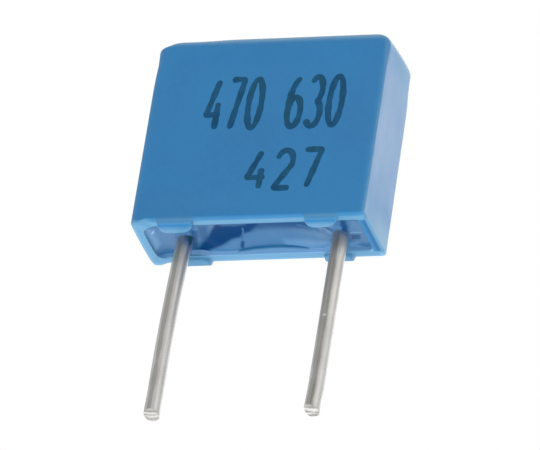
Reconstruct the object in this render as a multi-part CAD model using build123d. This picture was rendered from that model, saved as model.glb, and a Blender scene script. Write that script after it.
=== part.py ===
"""Radial box film capacitor for a printed circuit board, in millimetres.

The frame's origin is on the board, midway between the two wire leads. +Z points away from the board,
+X runs from the left lead to the right one, and -Y is the front face of the case.

A moulded case, open towards the board, is potted with epoxy resin. Inside is a block of two sets of
metallised polyester films, laid alternately. Each set stands out at one end of the block, where a
sprayed metal layer keys into it. A tinned wire is welded to the outside of each metal layer.
"""

from build123d import *
from math import radians, tan
import os

# Case
case_width = 7.2
case_thickness = 2.5
case_height = 6.5
front_wall = 0.38
end_wall = 0.28
top_wall = 0.45
draft_angle = 0.5
face_edge_radius = 0.25
top_corner_radius = 0.5
rim_edge_radius = 0.05
cavity_corner_radius = 0.2

# Stand-offs, which hold the rim of the case off the board
standoff_height = 0.2
standoff_length = 1.05
standoff_depth = 0.5
standoff_spacing = 4.55
standoff_corner_radius = 0.3
standoff_foot_radius = 0.12
standoff_rib_rise = 0.9

# Wire leads
lead_pitch = 5.0
lead_diameter = 0.5
lead_free_length = 5.8
cut_slope = 24
cut_turn_left = 0
cut_turn_right = -30
cut_land = 0.12

# Weld of each lead on its metal layer, where the wire is pressed to an oval
lead_root_cover = 0.03
weld_thickness = 0.36
weld_sink = 0.08
weld_length = 3.4
weld_tip_chamfer = 0.06

# Film block
films_per_set = 6
film_thickness = 0.06
film_stagger = 0.16
cover_film_thickness = 0.28
block_height = 4.75
block_top_gap = 0.3
metal_cover = 0.3
metal_edge_radius = 0.08

# Resin
resin_end_depth = 0.14
resin_dish_depth = 0.32
resin_dish_reach = 1.9
resin_wall_share = 0.62
lead_fillet_radius = 0.28

# Places that several pieces share
rim_z = standoff_height
cavity_width = case_width - 2 * end_wall
cavity_thickness = case_thickness - 2 * front_wall
cavity_roof_z = case_height - top_wall
lead_radius = lead_diameter / 2
lead_x = lead_pitch / 2
block_top_z = cavity_roof_z - block_top_gap
block_bottom_z = block_top_z - block_height
metal_outer_x = lead_x - weld_thickness / 2 + weld_sink
block_half_width = metal_outer_x - metal_cover
metal_inner_x = block_half_width - film_stagger
active_thickness = 2 * films_per_set * film_thickness
block_thickness = active_thickness + 2 * cover_film_thickness
resin_z = rim_z + resin_end_depth
resin_lead_z = resin_z - lead_fillet_radius


def slab(x_low, x_high, y_low, y_high, z_low, z_high):
    """A rectangular block between two corners."""
    size = (x_high - x_low, y_high - y_low, z_high - z_low)
    centre = ((x_low + x_high) / 2, (y_low + y_high) / 2, (z_low + z_high) / 2)
    return Pos(*centre) * Box(*size)


def cavity():
    """The space inside the case: a drafted pocket, wider at the rim, with rounded inner edges."""
    depth = cavity_roof_z - rim_z
    mouth = RectangleRounded(cavity_width, cavity_thickness, cavity_corner_radius)
    pocket = extrude(Pos(0, 0, rim_z) * mouth, depth, taper=draft_angle)
    roof = pocket.faces().sort_by(Axis.Z)[-1]
    roof_radius = min(cavity_corner_radius, 0.9 * cavity_thickness / 2) - depth * tan(radians(draft_angle))
    return fillet(roof.edges(), roof_radius)


def standoff():
    """One stand-off at the front wall: a foot below the rim that runs up inside the wall as a short rib."""
    height = standoff_height + standoff_rib_rise
    plan = Rectangle(standoff_length, standoff_depth)
    inner_corners = plan.vertices().group_by(Axis.Y)[-1]
    foot = extrude(fillet(inner_corners, standoff_corner_radius), height)
    foot = fillet(foot.faces().sort_by(Axis.Z)[0].edges(), standoff_foot_radius)
    return Pos(0, (standoff_depth - case_thickness) / 2, 0) * foot


def standoffs():
    """The four stand-offs, one pair at each end of the case."""
    feet = []
    for x in (-standoff_spacing / 2, standoff_spacing / 2):
        front_foot = Pos(x, 0, 0) * standoff()
        feet += [front_foot, Rot(0, 0, 180) * front_foot]
    return feet


def case():
    """The moulded case: a rounded box, hollow and open at the rim, with four stand-offs."""
    body_height = case_height - rim_z
    outline = Pos(0, body_height / 2) * Rectangle(case_width, body_height)
    top_corners = outline.vertices().group_by(Axis.Y)[-1]
    outline = fillet(top_corners, top_corner_radius)
    front_plane = Plane(origin=(0, -case_thickness / 2, rim_z), x_dir=(1, 0, 0), z_dir=(0, -1, 0))
    body = extrude(front_plane * outline, -case_thickness)

    rim_edges = body.faces().sort_by(Axis.Z)[0].edges()
    front_edges = body.faces().sort_by(Axis.Y)[0].edges() - rim_edges
    back_edges = body.faces().sort_by(Axis.Y)[-1].edges() - rim_edges
    body = fillet(front_edges + back_edges, face_edge_radius)
    body = fillet(body.faces().sort_by(Axis.Z)[0].edges(), rim_edge_radius)
    body -= cavity()
    for foot in standoffs():
        body += foot
    return body


def cut_tip(turn):
    """What the cutter takes off a lead's end: all past a slope that faces the front, down to a small flat."""
    reach = 4 * lead_diameter
    slope = Rot(-cut_slope, 0, 0) * Pos(0, 0, -reach / 2) * Box(2 * reach, 2 * reach, reach)
    heel = lead_radius - cut_land
    return Rot(0, 0, turn) * Pos(0, heel, -lead_free_length) * slope


def lead(side, turn):
    """One wire lead: sheared at its free end, and pressed oval from the resin up to its weld.

    The oval keeps the wire's section area, so it widens as it gets thinner.
    """
    root_z = resin_lead_z + lead_root_cover
    wire = Pos(0, 0, (root_z - lead_free_length) / 2) * Cylinder(lead_radius, root_z + lead_free_length)
    wire -= cut_tip(turn)
    half_thickness = weld_thickness / 2
    oval = Ellipse(half_thickness, lead_radius**2 / half_thickness)
    wire += loft([Pos(0, 0, root_z) * Circle(lead_radius), Pos(0, 0, block_bottom_z) * oval])
    tail = extrude(Pos(0, 0, block_bottom_z) * oval, weld_length)
    wire += chamfer(tail.faces().sort_by(Axis.Z)[-1].edges(), weld_tip_chamfer)
    return Pos(side * lead_x, 0, 0) * wire


def film_set(side):
    """The films of one set, each metallised up to the edge that stands out at that side."""
    width = block_half_width + metal_inner_x
    first_y = -active_thickness / 2
    shift = side * film_stagger / 2
    films = []
    for index in range(films_per_set):
        layer = 2 * index + (1 if side > 0 else 0)
        low_y = first_y + layer * film_thickness
        films.append(
            slab(
                shift - width / 2,
                shift + width / 2,
                low_y,
                low_y + film_thickness,
                block_bottom_z,
                block_top_z,
            )
        )
    return Compound(children=films)


def cover_film(side):
    """The thicker blank film outside the last metallised one, at the front or at the back."""
    inner_y = active_thickness / 2
    film = slab(
        -metal_inner_x,
        metal_inner_x,
        inner_y,
        inner_y + cover_film_thickness,
        block_bottom_z,
        block_top_z,
    )
    return film if side > 0 else mirror(film, Plane.XZ)


def metal_layer(side, films, wire):
    """The metal sprayed on one end of the block, which fills the gaps between the films that stand out."""
    half_thickness = block_thickness / 2
    layer = slab(
        metal_inner_x, metal_outer_x, -half_thickness, half_thickness, block_bottom_z, block_top_z
    )
    layer = fillet(layer.faces().sort_by(Axis.X)[-1].edges(), metal_edge_radius)
    if side < 0:
        layer = mirror(layer, Plane.YZ)
    return layer - films - wire


def resin_dish():
    """The hollow that the resin shrinks into between the leads: the cap of an ellipsoid.

    The ellipsoid's centre is as far below the level of the resin as the cap is deep, so the cap
    meets that level at a shallow slope.
    """
    half_depth = 2 * resin_dish_depth
    half_length = resin_dish_reach / (1 - 0.5**2) ** 0.5
    wall_height = (1 + resin_wall_share) * resin_dish_depth
    half_breadth = cavity_thickness / 2 / (1 - (wall_height / half_depth) ** 2) ** 0.5
    ellipsoid = scale(Sphere(1), by=(half_length, half_breadth, half_depth))
    return Pos(0, 0, resin_z - resin_dish_depth) * ellipsoid


def lead_fillet(side):
    """Resin that has crept down a lead: a collar with a concave flank."""
    outer_r = lead_radius + lead_fillet_radius
    flank = Line((0, resin_lead_z), (lead_radius, resin_lead_z))
    flank += RadiusArc((lead_radius, resin_lead_z), (outer_r, resin_z), lead_fillet_radius)
    flank += Polyline(
        [(outer_r, resin_z), (outer_r, block_bottom_z), (0, block_bottom_z), (0, resin_lead_z)]
    )
    collar = revolve(Plane.XZ * make_face(flank), Axis.Z)
    return Pos(side * lead_x, 0, 0) * collar


def resin(inside):
    """The potting: everything in the case that the block, the leads and the stand-offs leave."""
    below = slab(-case_width, case_width, -case_thickness, case_thickness, 0, resin_z)
    potting = cavity() - below - resin_dish()
    for side in (-1, 1):
        potting += lead_fillet(side)
    for piece in standoffs() + inside:
        potting -= piece
    return potting


def main():
    os.makedirs("parts", exist_ok=True)
    left_lead = lead(-1, cut_turn_left)
    right_lead = lead(1, cut_turn_right)
    left_films = film_set(-1)
    right_films = film_set(1)
    front_cover = cover_film(-1)
    back_cover = cover_film(1)
    left_metal = metal_layer(-1, left_films, left_lead)
    right_metal = metal_layer(1, right_films, right_lead)
    inside = [
        left_films, right_films, front_cover, back_cover, left_metal, right_metal, left_lead, right_lead
    ]
    pieces = {
        "case": case(),
        "resin_seal": resin(inside),
        "left_film_set": left_films,
        "right_film_set": right_films,
        "front_cover_film": front_cover,
        "back_cover_film": back_cover,
        "left_metal_layer": left_metal,
        "right_metal_layer": right_metal,
        "left_lead": left_lead,
        "right_lead": right_lead,
    }
    for name, shape in pieces.items():
        export_step(shape, f"parts/{name}.step")


main()
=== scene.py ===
"""A box film capacitor: moulded case, resin potting and two tinned leads, dressed for a render.

Shapes are worked out in millimetres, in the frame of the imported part, and go into Blender in metres.
+Z points away from the board, +X from the left lead to the right one, and -Y is the front of the case.
"""

import bmesh
import bpy
import numpy as np
from mathutils import Matrix, Vector


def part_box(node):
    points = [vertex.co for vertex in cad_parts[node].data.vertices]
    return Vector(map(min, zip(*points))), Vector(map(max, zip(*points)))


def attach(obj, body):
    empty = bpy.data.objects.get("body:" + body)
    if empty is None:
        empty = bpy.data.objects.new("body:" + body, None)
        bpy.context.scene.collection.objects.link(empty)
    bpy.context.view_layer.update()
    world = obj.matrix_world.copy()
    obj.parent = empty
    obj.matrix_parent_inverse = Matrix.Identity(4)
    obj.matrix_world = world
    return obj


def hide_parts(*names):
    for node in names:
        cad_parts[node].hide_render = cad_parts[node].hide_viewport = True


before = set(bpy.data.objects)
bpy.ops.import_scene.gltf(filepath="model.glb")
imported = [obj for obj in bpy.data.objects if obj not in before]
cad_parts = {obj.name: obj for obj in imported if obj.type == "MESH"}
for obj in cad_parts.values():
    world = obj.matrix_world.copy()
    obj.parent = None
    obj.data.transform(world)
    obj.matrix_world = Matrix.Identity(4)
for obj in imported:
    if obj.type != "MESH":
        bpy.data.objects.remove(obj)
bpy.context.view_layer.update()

MM = 0.001


def box_mm(node):
    """A CAD node's lowest and highest corner, in millimetres."""
    low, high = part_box(node)
    return np.array(low) / MM, np.array(high) / MM


# ---------------- sizes, in millimetres
case_low, case_high = box_mm("case")
lead_low, lead_high = box_mm("right_lead")

HALF_W, HALF_T, TOP_Z = case_high
FOOT_Z = case_low[2]
RIM_Z = FOOT_Z + 0.17
FACE_EDGE = 0.25
TOP_CORNER = 0.5
RIM_EDGE = 0.12
LEFT_RIM_EDGE = 0.04
LEFT_RIM_DROP = 0.07
START_Z = FOOT_Z + 0.36
OUTER_DRAFT = 0.03
FACE_SINK = 0.016
END_SINK = 0.01
SINK_FADE = 0.8
INNER_LIP = 0.03

POCKET_W, POCKET_T, ROOF_Z = box_mm("resin_seal")[1] + (0.0012, 0.0012, 0)
POCKET_CORNER = 0.2
POCKET_DRAFT = np.tan(np.radians(0.5))

FOOT_X = 2.275
FOOT_HALF = 0.54
FOOT_DEPTH = 0.5
FOOT_CORNER = 0.3
FRONT_FOOT_DEPTH = 0.555
FRONT_FOOT_CORNER = 0.52
FOOT_DOME = 0.12
FOOT_SIDE = 0.06
BACK_FOOT_EASE = 2.0

LEAD_X = (lead_low[0] + lead_high[0]) / 2
LEAD_R = (lead_high[0] - lead_low[0]) / 2
WORN_R = 0.965 * LEAD_R
TIP_Z, TAIL_Z = lead_low[2], lead_high[2]

RESIN_Z = FOOT_Z + 0.34
DISH_X = 0.2
DISH_DEPTH = 0.32
DISH_REACH = 1.72
DISH_WALL_HEIGHT = 0.17
COLLAR = 0.08
SHOWN_Z = 1.2

CUT_SLOPE = np.tan(np.radians(24))
CUT_LAND = 0.13
CUT_ROUND = 0.026
LEFT_CUT_TURN = -12
RIGHT_CUT_TURN = -30
WELD_X, WELD_Y = 0.18, 0.347

# How far a lead stands off its place: the factors of a polynomial in the share of the way up from the tip.
LEFT_LEAN = (0.149, -0.004, 0.0615)
RIGHT_LEAN = (0.045, -0.01)
LEAN_LENGTH = 5.0

INK_HEIGHT = 0.007
INK_HALF_WIDTH = 0.095
INK_SLANT = 0.02


def smooth(t):
    """0 below 0 and 1 above 1, with a smooth step between."""
    t = np.clip(t, 0.0, 1.0)
    return t * t * (3 - 2 * t)


def ramp(value, start, length):
    """0 up to start, then a smooth rise to 1 over a length."""
    return smooth((value - start) / length)


def fall(value, start, length):
    """1 up to start, then a smooth fall to 0 over a length."""
    return 1 - ramp(value, start, length)


def lay(under, over, share):
    """Goes from one value to another as share goes from 0 to 1."""
    return under + share * (over - under)


def quarter(steps):
    """The angles of a quarter round in a number of steps."""
    return np.linspace(0, np.pi / 2, steps + 1)


def run(*points):
    """A broken line through points."""
    return np.array(points, float)


def lean(side, z):
    """How far a lead stands to the right of its hole's place, for it was potted a little out of true.

    The offset is gone where the lead meets its weld. The shear has pushed the tips a little to the left.
    """
    offset = np.polyval(LEFT_LEAN if side < 0 else RIGHT_LEAN, (z + LEAN_LENGTH) / LEAN_LENGTH)
    return offset * fall(z, 0.3, 0.7) - 0.02 * fall(z, -5.6, 0.7)


def arc(centre_x, centre_z, radius_x, radius_z, start, stop, count=25):
    """Points on an ellipse between two angles, in degrees."""
    angle = np.radians(np.linspace(start, stop, count))
    return np.stack([centre_x + radius_x * np.cos(angle), centre_z + radius_z * np.sin(angle)], axis=1)


def side_distances(x, y, line):
    """For each point and each straight run of a line: the distance between them."""
    start, step = line[:-1], np.diff(line, axis=0)
    to_x, to_y = x[:, None] - start[:, 0], y[:, None] - start[:, 1]
    along = (to_x * step[:, 0] + to_y * step[:, 1]) / (step[:, 0] ** 2 + step[:, 1] ** 2)
    along = np.clip(along, 0, 1)
    return np.hypot(to_x - along * step[:, 0], to_y - along * step[:, 1])


def near_line(x, y, line, half_width, soft):
    """1 on a line of a given width and 0 away from it: its distance, eased over `soft`."""
    gap = side_distances(x, y, line).min(axis=1)
    return smooth((half_width - gap) / soft + 0.5)


def in_outline(x, y, corners, soft):
    """1 inside a closed outline and 0 outside: the signed distance to its sides, eased over `soft`."""
    line = np.vstack([corners, corners[:1]])
    gap = side_distances(x, y, line).min(axis=1)
    low, high = line[:-1], line[1:]
    spans = (low[:, 1] > y[:, None]) != (high[:, 1] > y[:, None])
    rise = np.where(high[:, 1] == low[:, 1], 1e-9, high[:, 1] - low[:, 1])
    cross = low[:, 0] + (y[:, None] - low[:, 1]) / rise * (high[:, 0] - low[:, 0])
    inside = (spans & (x[:, None] < cross)).sum(axis=1) % 2 == 1
    return smooth(np.where(inside, gap, -gap) / soft + 0.5)


# ---------------- meshes from grids of points
def grid_faces(rows, columns, wrapped, first):
    """The quads of a grid of points, numbered row by row. A wrapped grid joins its two end columns."""
    index = np.arange(rows * columns).reshape(rows, columns) + first
    if wrapped:
        index = np.hstack([index, index[:, :1]])
    low, high = index[:-1], index[1:]
    return np.stack([low[:, :-1], low[:, 1:], high[:, 1:], high[:, :-1]], axis=-1).reshape(-1, 4)


def as_grid(rows):
    """Points of the shape (rows, columns, 3) from a list of rows, each its x, its y and its z."""
    return np.stack([np.stack(row, axis=-1) for row in rows])


def place(name, data):
    """Puts new data into the scene as an object."""
    made = bpy.data.objects.new(name, data)
    bpy.context.scene.collection.objects.link(made)
    return made


def piece_from_grids(name, grids, material, replaces=(), merge=2e-4):
    """One closed mesh from grids of points: their seams are merged and their faces point outwards.

    grids is a list of (points, wrapped). The points and the merge distance are in millimetres.
    """
    faces, first = [], 0
    for points, wrapped in grids:
        rows, columns = points.shape[:2]
        faces.append(grid_faces(rows, columns, wrapped, first))
        first += rows * columns
    vertices = np.vstack([points.reshape(-1, 3) for points, _ in grids]) * MM
    mesh = bpy.data.meshes.new(name)
    mesh.from_pydata(vertices, [], np.vstack(faces))
    work = bmesh.new()
    work.from_mesh(mesh)
    bmesh.ops.remove_doubles(work, verts=work.verts, dist=merge * MM)
    bmesh.ops.recalc_face_normals(work, faces=work.faces)
    work.to_mesh(mesh)
    work.free()
    mesh.polygons.foreach_set("use_smooth", np.ones(len(mesh.polygons), bool))
    mesh.materials.append(material)
    piece = place(name, mesh)
    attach(piece, "root")
    if replaces:
        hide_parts(*replaces)
    return piece


def vertex_positions(piece):
    """A piece's vertices in millimetres."""
    flat = np.zeros(len(piece.data.vertices) * 3, np.float32)
    piece.data.vertices.foreach_get("co", flat)
    return flat.reshape(-1, 3).astype(float) / MM


def paint(piece, name, values):
    """Keeps one number per vertex, for the piece's material to read."""
    layer = piece.data.attributes.new(name, "FLOAT", "POINT")
    layer.data.foreach_set("value", np.asarray(values, np.float32))


# ---------------- case
def straight_stations():
    """Places along the front of the case, from left to right, which are close together at the feet."""
    end = HALF_W - FACE_EDGE
    turn = HALF_W - TOP_CORNER
    foot = np.linspace(FOOT_X - FOOT_HALF - 0.1, FOOT_X + FOOT_HALF + 0.1, 70)
    middle = np.linspace(0, foot[0], 50)[:-1]
    side = np.linspace(foot[-1], turn, 5)[1:]
    corner = np.linspace(turn, end, 5)[1:]
    half = np.concatenate([middle, foot, side, corner])
    return np.concatenate([-half[:0:-1], half])


STATIONS = straight_stations()
CORNER_STEPS = 8
END_STEPS = 30


def loop_frame():
    """Once round a rounded rectangle: for each place, its share of the straight sides and its normal."""
    share = STATIONS / STATIONS[-1]
    turn = quarter(CORNER_STEPS)[1:]
    across = np.linspace(-1, 1, END_STEPS + 1)[1:]
    sx, sy, nx, ny = [], [], [], []

    def add(a, b, c, d):
        shape = np.broadcast(a, b, c, d).shape
        for part, value in zip((sx, sy, nx, ny), (a, b, c, d)):
            part.append(np.broadcast_to(value, shape))

    add(share, -1.0, 0.0, -1.0)
    add(1.0, -1.0, np.sin(turn), -np.cos(turn))
    add(1.0, across, 1.0, 0.0)
    add(1.0, 1.0, np.cos(turn), np.sin(turn))
    add(share[::-1][1:], 1.0, 0.0, 1.0)
    add(-1.0, 1.0, -np.sin(turn), np.cos(turn))
    add(-1.0, -across, -1.0, 0.0)
    add(-1.0, -1.0, -np.cos(turn)[:-1], -np.sin(turn)[:-1])
    return [np.concatenate(part) for part in (sx, sy, nx, ny)]


LOOP_SX, LOOP_SY, LOOP_NX, LOOP_NY = loop_frame()


def loop(half_w, half_t, corner):
    """Points round a rounded rectangle: the corner's centre plus its radius along the outward normal."""
    x = LOOP_SX * (half_w - corner) + LOOP_NX * corner
    y = LOOP_SY * (half_t - corner) + LOOP_NY * corner
    return x, y


def foot_shape(x, y):
    """For a point by a foot: how far along the wall it is past the start of the rounded corner, that corner's
    radius, and how far the foot stands in from the outer face.

    The foot at the front left reaches further towards the middle and back, and the one at the back right is
    shorter. The front feet are rounder at their right.
    """
    front_left = (x < 0) & (y < 0)
    back_right = (x > 0) & (y > 0)
    middle = FOOT_X - 0.04 * front_left - 0.07 * back_right
    half = FOOT_HALF + 0.04 * front_left - 0.07 * back_right
    from_middle = x - np.where(x < 0, -1, 1) * middle
    corner = np.where((y < 0) & (from_middle > 0), FRONT_FOOT_CORNER, FOOT_CORNER)
    depth = np.where(front_left, FRONT_FOOT_DEPTH, FOOT_DEPTH)
    return np.abs(from_middle) - (half - corner), corner, depth


def foot_inset(x, y):
    """How far inside a foot's plan a point is: a signed distance to a D with rounded inner corners."""
    along, corner, depth = foot_shape(x, y)
    inward = (HALF_T - depth + corner) - np.abs(y)
    outside = np.hypot(np.maximum(along, 0), np.maximum(inward, 0))
    inside = np.minimum(np.maximum(along, inward), 0)
    return corner - outside - inside


def foot_level(inset):
    """The height of the rim over a foot's plan: a steep side, then a dome that flattens to its sole."""
    edge = np.clip(inset, 0, FOOT_DOME)
    dome = FOOT_DOME - np.sqrt(FOOT_DOME**2 - (FOOT_DOME - edge) ** 2)
    side = smooth(inset / FOOT_SIDE)
    return RIM_Z + side * (FOOT_Z + dome - RIM_Z)


def at_left(x):
    """1 at the left end of the rim and 0 past the end wall."""
    return ramp(-x, 3.1, 0.3)


def left_drop(x, y):
    """How much nearer to the board the rim is at the left end: most at its middle, least at the back."""
    bow = 0.045 * (1 - (y / HALF_T) ** 2) - 0.03 * ramp(y, 0.8, 0.4)
    return (LEFT_RIM_DROP + bow) * at_left(x)


def foot_wall(x, y):
    """How far from the middle the front or back wall's inner face is, where a foot may stand in from it."""
    along, corner, depth = foot_shape(x, y)
    bulge = np.sqrt(np.maximum(corner**2 - np.maximum(along, 0) ** 2, 0))
    return np.minimum(POCKET_T, HALF_T - depth + corner - bulge)


def coons(bottom, top, left, right):
    """A Coons patch: the ruled surfaces between facing edges, added, less the bilinear one of the corners."""
    u = ((bottom[:, 0] - bottom[0, 0]) / (bottom[-1, 0] - bottom[0, 0]))[None, :, None]
    steps = np.linalg.norm(np.diff(left, axis=0), axis=1)
    v = (np.concatenate([[0], np.cumsum(steps)]) / steps.sum())[:, None, None]
    ruled_up = (1 - v) * bottom[None] + v * top[None]
    ruled_across = (1 - u) * left[:, None] + u * right[:, None]
    corners = (
        (1 - u) * (1 - v) * bottom[0]
        + u * (1 - v) * bottom[-1]
        + (1 - u) * v * top[0]
        + u * v * top[-1]
    )
    return ruled_up + ruled_across - corners


def face_outline():
    """The edge of a flat face as bottom, top, left and right. The upper corners' arcs split at 45 degrees."""
    inner = TOP_CORNER - FACE_EDGE
    centre = HALF_W - TOP_CORNER
    centre_z = TOP_Z - TOP_CORNER
    bottom = np.stack([STATIONS, np.full_like(STATIONS, START_Z)], axis=1)
    rise = arc(-centre, centre_z, inner, inner, 180, 135, 5)
    straight = np.linspace(START_Z, centre_z, 34)[:-1]
    left = np.concatenate([np.stack([np.full_like(straight, STATIONS[0]), straight], axis=1), rise])
    over = arc(-centre, centre_z, inner, inner, 135, 90, 5)[:-1]
    flat_x = STATIONS[4:-4]
    flat = np.stack([flat_x, np.full_like(flat_x, centre_z + inner)], axis=1)
    mirror = np.array([-1, 1])
    top = np.concatenate([over, flat, over[::-1] * mirror])
    return bottom, top, left, left * mirror


def squared(u, v, power):
    """Turns a quarter round into a squarer one: a superellipse, whose power is 2 for a round.

    u and v are 0 at the centre of the round and 1 at its two sides.
    """
    both = (u > 0) & (v > 0)
    u, v = np.maximum(u, 1e-9), np.maximum(v, 1e-9)
    scale = np.hypot(u, v) / (u**power + v**power) ** (1 / power)
    return np.where(both, scale, 1.0)


def sink_along(x):
    """How much of a flat face's sink there is at a place along the case: none near the ends."""
    return fall(np.abs(x), HALF_W - FACE_EDGE - SINK_FADE, SINK_FADE)


def sink_up(z):
    """How much of an upright face's sink there is at a height: none near the rim and the top."""
    return fall(z, TOP_Z - FACE_EDGE - SINK_FADE, SINK_FADE) * ramp(z, START_Z, SINK_FADE)


def drafted(z):
    """How far a drafted face has come in at a height."""
    return OUTER_DRAFT * np.clip((z - START_Z) / (TOP_Z - START_Z), 0, 1)


def swell(value, middle, width):
    """A bell curve that is 1 at its middle."""
    return np.exp(-(((value - middle) / width) ** 2))


def moulded(points):
    """The outer shape as it leaves the mould, from the plain rounded box.

    The upright edges are squarer towards the rim, and the top corners are squarer towards the back. The flat
    faces sink a little at their middles, and the front, back and left faces are drafted towards the top.
    The top left corner is an oval round, which is longer than it is high: the end swells below it and the
    top dips towards it.
    """
    x, y, z = points[..., 0], points[..., 1], points[..., 2]
    inner_x, inner_y = HALF_W - FACE_EDGE, HALF_T - FACE_EDGE
    u, v = (np.abs(x) - inner_x) / FACE_EDGE, (np.abs(y) - inner_y) / FACE_EDGE
    at_back = smooth((x + y) / 2)
    below_top = fall(z, TOP_Z - TOP_CORNER - 1.45, 1.4)
    scale = squared(u, v, 2 + (4.5 - 1.5 * z / TOP_Z + 3 * at_back) * below_top)
    on_x, on_y = np.sign(x) * inner_x, np.sign(y) * inner_y
    corner = scale != 1
    new_x = np.where(corner, on_x + (x - on_x) * scale, x)
    new_y = np.where(corner, on_y + (y - on_y) * scale, y)

    corner_x, corner_z = HALF_W - TOP_CORNER, TOP_Z - TOP_CORNER
    u, v = (np.abs(x) - corner_x) / TOP_CORNER, (z - corner_z) / TOP_CORNER
    scale = squared(u, v, 2 + (0.35 + 5.65 * ramp(y, -HALF_T, 2 * HALF_T)) * (x > 0))
    corner = scale != 1
    on_x = np.sign(x) * corner_x
    new_x = np.where(corner, on_x + (x - on_x) * scale, new_x)
    new_z = np.where(corner, corner_z + (z - corner_z) * scale, z)

    touching = 1e-6
    along, up = sink_along(x), sink_up(z)
    through = fall(np.abs(y), inner_y - 0.7, 0.7)
    new_y = new_y - np.where(np.abs(y) > HALF_T - touching, np.sign(y) * FACE_SINK * along * up, 0)
    new_x = new_x - np.where(np.abs(x) > HALF_W - touching, np.sign(x) * END_SINK * through * up, 0)
    new_z = new_z - np.where(z > TOP_Z - touching, END_SINK * through * along, 0)
    draft = drafted(z)
    swelling = 0.04 * swell(z, TOP_Z - 0.34, 0.12) + 0.018 * swell(z, TOP_Z - 0.58, 0.16)
    new_x = new_x + draft * smooth(-x / HALF_W) - swelling * ramp(-x, 3.0, 0.4)
    dip = 0.052 * swell(x, -3.33, 0.22) + 0.033 * ramp(-x, 1.2, 1.2)
    new_z = new_z - dip * ramp(z, TOP_Z - 0.35, 0.3)
    return np.stack([new_x, new_y * (1 - draft / HALF_T), new_z], axis=-1)


def face_depth(x, z):
    """How far the front face is from the middle plane at a place on it, with its sink and draft."""
    return (HALF_T - FACE_SINK * sink_along(x) * sink_up(z)) * (1 - drafted(z) / HALF_T)


def case_band(left, top, right):
    """The ends and the top as one band: up the left end, over the top and down the right end.

    The path is the edge of a flat face, and the profile is a quarter round, a flat and a quarter round.
    """
    path = np.concatenate([left[:-1], top, right[::-1][1:]])
    centre = HALF_W - TOP_CORNER
    x, z = path.T
    spoke = np.stack([x - np.clip(x, -centre, centre), np.maximum(z - (TOP_Z - TOP_CORNER), 0)], axis=1)
    normal = spoke / np.linalg.norm(spoke, axis=1, keepdims=True)
    turn = quarter(CORNER_STEPS)
    out = FACE_EDGE * np.sin(turn)
    side = -(HALF_T - FACE_EDGE + FACE_EDGE * np.cos(turn))
    across = np.linspace(-1, 1, END_STEPS + 1)[1:-1] * (HALF_T - FACE_EDGE)
    out = np.concatenate([out, np.full_like(across, FACE_EDGE), out[::-1]])
    side = np.concatenate([side, across, -side[::-1]])
    x, z = path[:, :1] + normal[:, :1] * out, path[:, 1:] + normal[:, 1:] * out
    return np.stack([x, np.broadcast_to(side, x.shape), z], axis=-1)


def close_roof(rows):
    """Adds the rows that shrink a rounded rectangle to its spine, at one height."""
    x, y, z = rows[-1]
    spine = np.clip(x, POCKET_T - POCKET_W, POCKET_W - POCKET_T)
    for share in (0.5, 1):
        rows.append((x + share * (spine - x), y * (1 - share), z))


def case_inside():
    """Rounded rectangles from the outer wall round the rim, over the feet and up the pocket to its roof."""
    rows = []
    outer_x, outer_y = loop(HALF_W, HALF_T, FACE_EDGE)
    straight = np.abs(LOOP_NY) == 1
    reach = np.where(straight, foot_inset(outer_x, outer_y), -1.0)
    on_foot = smooth(reach / 0.12)
    edge = lay(lay(RIM_EDGE, LEFT_RIM_EDGE, at_left(outer_x)), FOOT_DOME, on_foot)
    drop = left_drop(outer_x, outer_y)
    level = foot_level(reach) - drop
    for share in (0, 0.4, 0.65, 0.8, 0.9, 1):
        rows.append((outer_x, outer_y, START_Z + share * (level + edge - START_Z)))
    ease = 1 + (BACK_FOOT_EASE - 1) * on_foot * (outer_y > 0)
    for angle in quarter(8)[1:]:
        pull = edge * ease * (1 - np.cos(angle))
        rows.append((outer_x - LOOP_NX * pull, outer_y - LOOP_NY * pull, level + edge * (1 - np.sin(angle))))
    outer_rows = len(rows)
    start_x, start_y = rows[-1][:2]

    inner_x, inner_y = loop(POCKET_W, POCKET_T, POCKET_CORNER)
    inner_y = np.where(straight, np.sign(inner_y) * foot_wall(inner_x, inner_y), inner_y)
    stop_x = inner_x + LOOP_NX * INNER_LIP
    stop_y = inner_y + LOOP_NY * INNER_LIP
    for share in np.linspace(0, 1, 22)[1:]:
        x, y = lay(start_x, stop_x, share), lay(start_y, stop_y, share)
        inset = np.where(straight, foot_inset(x, y), -1.0)
        rows.append((x, y, foot_level(inset) - drop))
    lip_z = rows[-1][2]
    for angle in quarter(3)[1:]:
        pull = INNER_LIP * np.sin(angle)
        z = lip_z + INNER_LIP * (1 - np.cos(angle))
        rows.append((stop_x - LOOP_NX * pull, stop_y - LOOP_NY * pull, z))

    rib = np.where(straight, POCKET_T - np.abs(inner_y), 0)
    wall_bottom = rows[-1][2]
    roof_round = POCKET_CORNER - (ROOF_Z - RIM_Z) * POCKET_DRAFT
    wall_x, wall_y = loop(POCKET_W, POCKET_T, POCKET_CORNER)
    for share in (*np.linspace(0.004, 0.1, 20), *np.linspace(0.13, 0.2, 4), *np.linspace(0.3, 1, 6)):
        z = lay(wall_bottom, ROOF_Z - roof_round, share)
        inward = (z - RIM_Z) * POCKET_DRAFT
        rows.append((wall_x - LOOP_NX * inward, wall_y - LOOP_NY * (inward + rib * fall(z, 0.95, 0.2)), z))
    last_x, last_y = rows[-1][:2]
    for angle in quarter(4)[1:]:
        pull = roof_round * (1 - np.cos(angle))
        z = np.full_like(last_x, ROOF_Z - roof_round * (1 - np.sin(angle)))
        rows.append((last_x - LOOP_NX * pull, last_y - LOOP_NY * pull, z))
    close_roof(rows)
    inside = as_grid(rows)
    inside[:outer_rows] = moulded(inside[:outer_rows])
    return inside


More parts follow.
